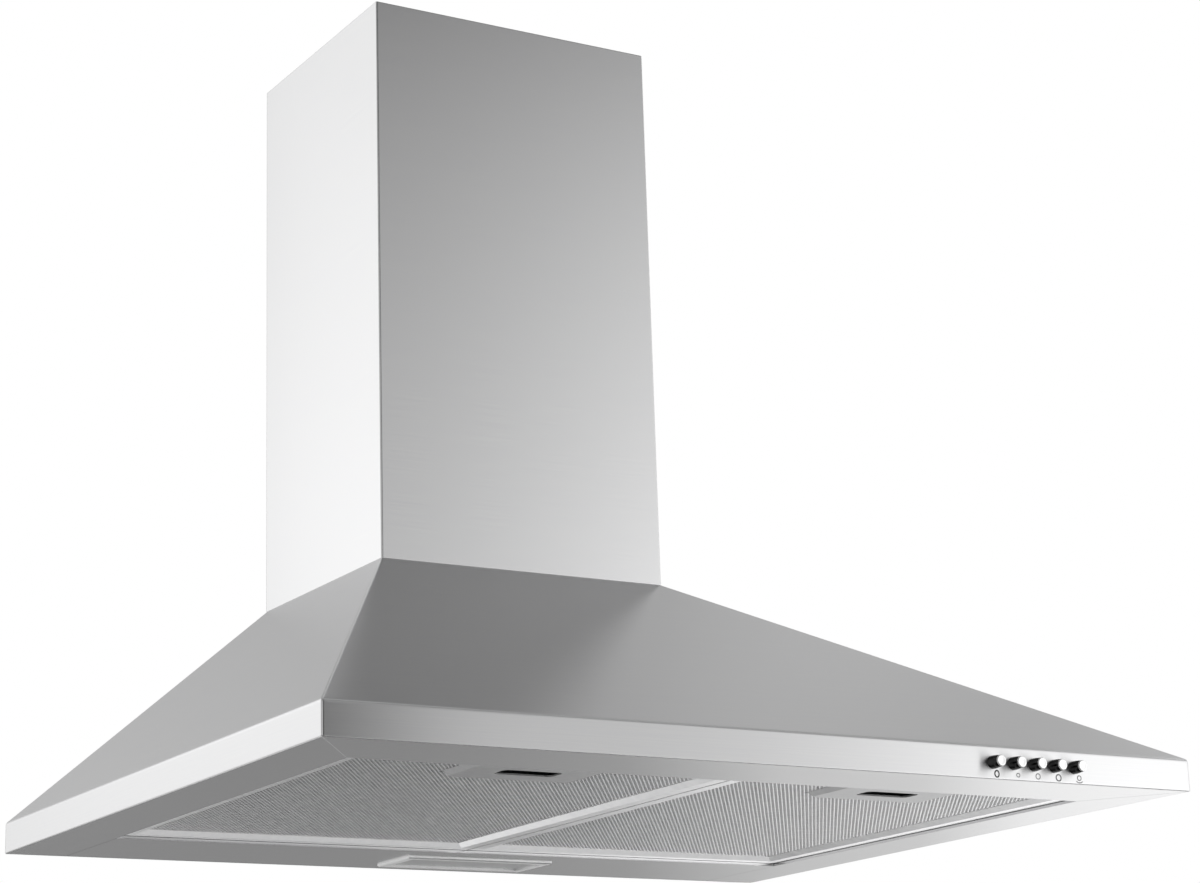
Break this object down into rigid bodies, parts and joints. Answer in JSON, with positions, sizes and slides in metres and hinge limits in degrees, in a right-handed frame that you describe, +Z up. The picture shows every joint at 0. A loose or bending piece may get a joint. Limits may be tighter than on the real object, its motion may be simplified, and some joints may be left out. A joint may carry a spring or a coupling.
{
  "type": "range hood",
  "caption": "Wall-mounted pyramid range hood: stainless canopy and telescoping chimney, drop-down mesh grease filters with latches, push buttons, lamp, blower and duct collar.",
  "frame": {"origin": "on the wall plane, at the middle of the width, at the level of the bottom rim", "axes": "+X right as seen from the front, +Y into the wall (the front faces -Y), +Z up"},
  "size_m": [0.598, 0.509, 0.5815],
  "materials": {
    "stainless": "brushed",
    "galvanised": "zinc-coated sheet",
    "filter_aluminium": "mill finish",
    "black_plastic": "gloss moulded",
    "cap_metal": "plated",
    "bezel_plastic": "satin moulded",
    "lens": "frosted",
    "bulb_glass": "clear",
    "socket_plastic": "moulded",
    "grey_plastic": "moulded",
    "switch_plastic": "moulded",
    "motor_steel": "lacquered",
    "zinc_steel": "zinc plated",
    "rubber": "matt"
  },
  "bodies": {
    "hood": {"canopy_front": "stainless", "canopy_left": "stainless", "canopy_right": "stainless", "canopy_deck": "stainless", "back_panel": "galvanised", "rim_front": "stainless", "rim_left": "stainless", "rim_right": "stainless", "lamp_panel": "stainless", "lower_chimney": "stainless", "lamp_bezel": "bezel_plastic", "lamp_lens": "lens", "lamp_housing": "galvanised", "lamp_socket": "socket_plastic", "lamp_bulb": "bulb_glass", "switch_block": "switch_plastic", "switch_bracket": "galvanised", "volute_left": "grey_plastic", "volute_right": "grey_plastic", "motor": "motor_steel", "motor_bracket": "galvanised", "duct_collar": "grey_plastic", "flap_pin": "zinc_steel", "terminal_box": "switch_plastic", "terminal_cover": "switch_plastic", "cable_grommet": "rubber", "collar_screws": "zinc_steel", "chimney_screws": "zinc_steel"},
    "upper_chimney": {"upper_chimney": "stainless"},
    "filter_left": {"filter_frame_left": "filter_aluminium", "filter_net_left": "filter_aluminium", "filter_pack_left": "filter_aluminium", "latch_plate_left": "filter_aluminium"},
    "latch_left": {"latch_slider_left": "black_plastic"},
    "filter_right": {"filter_frame_right": "filter_aluminium", "filter_net_right": "filter_aluminium", "filter_pack_right": "filter_aluminium", "latch_plate_right": "filter_aluminium"},
    "latch_right": {"latch_slider_right": "black_plastic"},
    "button_1": {"button_1": "black_plastic", "button_cap_1": "cap_metal"},
    "button_2": {"button_2": "black_plastic", "button_cap_2": "cap_metal"},
    "button_3": {"button_3": "black_plastic", "button_cap_3": "cap_metal"},
    "button_4": {"button_4": "black_plastic", "button_cap_4": "cap_metal"},
    "button_5": {"button_5": "black_plastic", "button_cap_5": "cap_metal"},
    "impeller": {"impeller": "grey_plastic", "shaft": "motor_steel"},
    "flap_front": {"flap_front": "grey_plastic"},
    "flap_rear": {"flap_rear": "grey_plastic"}
  },
  "joints": [
    {"name": "upper_chimney_slide", "type": "slide", "parent": "hood", "child": "upper_chimney", "axis": [0, 0, 1], "range_m": [0, 0.3]},
    {"name": "filter_left_hinge", "type": "hinge", "parent": "hood", "child": "filter_left", "pos_m": [0, -0.0965, 0.002], "axis": [1, 0, 0], "range_deg": [0, 60]},
    {"name": "latch_left_slide", "type": "slide", "parent": "filter_left", "child": "latch_left", "axis": [0, -1, 0], "range_m": [0, 0.006]},
    {"name": "filter_right_hinge", "type": "hinge", "parent": "hood", "child": "filter_right", "pos_m": [0, -0.0965, 0.002], "axis": [1, 0, 0], "range_deg": [0, 60]},
    {"name": "latch_right_slide", "type": "slide", "parent": "filter_right", "child": "latch_right", "axis": [0, -1, 0], "range_m": [0, 0.006]},
    {"name": "button_1_press", "type": "slide", "parent": "hood", "child": "button_1", "axis": [0, 1, 0], "range_m": [0, 0.004], "stiffness_N_per_m": 300},
    {"name": "button_2_press", "type": "slide", "parent": "hood", "child": "button_2", "axis": [0, 1, 0], "range_m": [0, 0.004], "stiffness_N_per_m": 300},
    {"name": "button_3_press", "type": "slide", "parent": "hood", "child": "button_3", "axis": [0, 1, 0], "range_m": [0, 0.004], "stiffness_N_per_m": 300},
    {"name": "button_4_press", "type": "slide", "parent": "hood", "child": "button_4", "axis": [0, 1, 0], "range_m": [0, 0.004], "stiffness_N_per_m": 300},
    {"name": "button_5_press", "type": "slide", "parent": "hood", "child": "button_5", "axis": [0, 1, 0], "range_m": [0, 0.004], "stiffness_N_per_m": 300},
    {"name": "impeller_spin", "type": "hinge", "parent": "hood", "child": "impeller", "pos_m": [0, -0.1375, 0.108], "axis": [1, 0, 0], "continuous": true},
    {"name": "flap_front_swing", "type": "hinge", "parent": "hood", "child": "flap_front", "pos_m": [0, -0.094, 0.202], "axis": [-1, 0, 0], "range_deg": [0, 70]},
    {"name": "flap_rear_swing", "type": "hinge", "parent": "hood", "child": "flap_rear", "pos_m": [0, -0.094, 0.202], "axis": [1, 0, 0], "range_deg": [0, 70]}
  ]
}
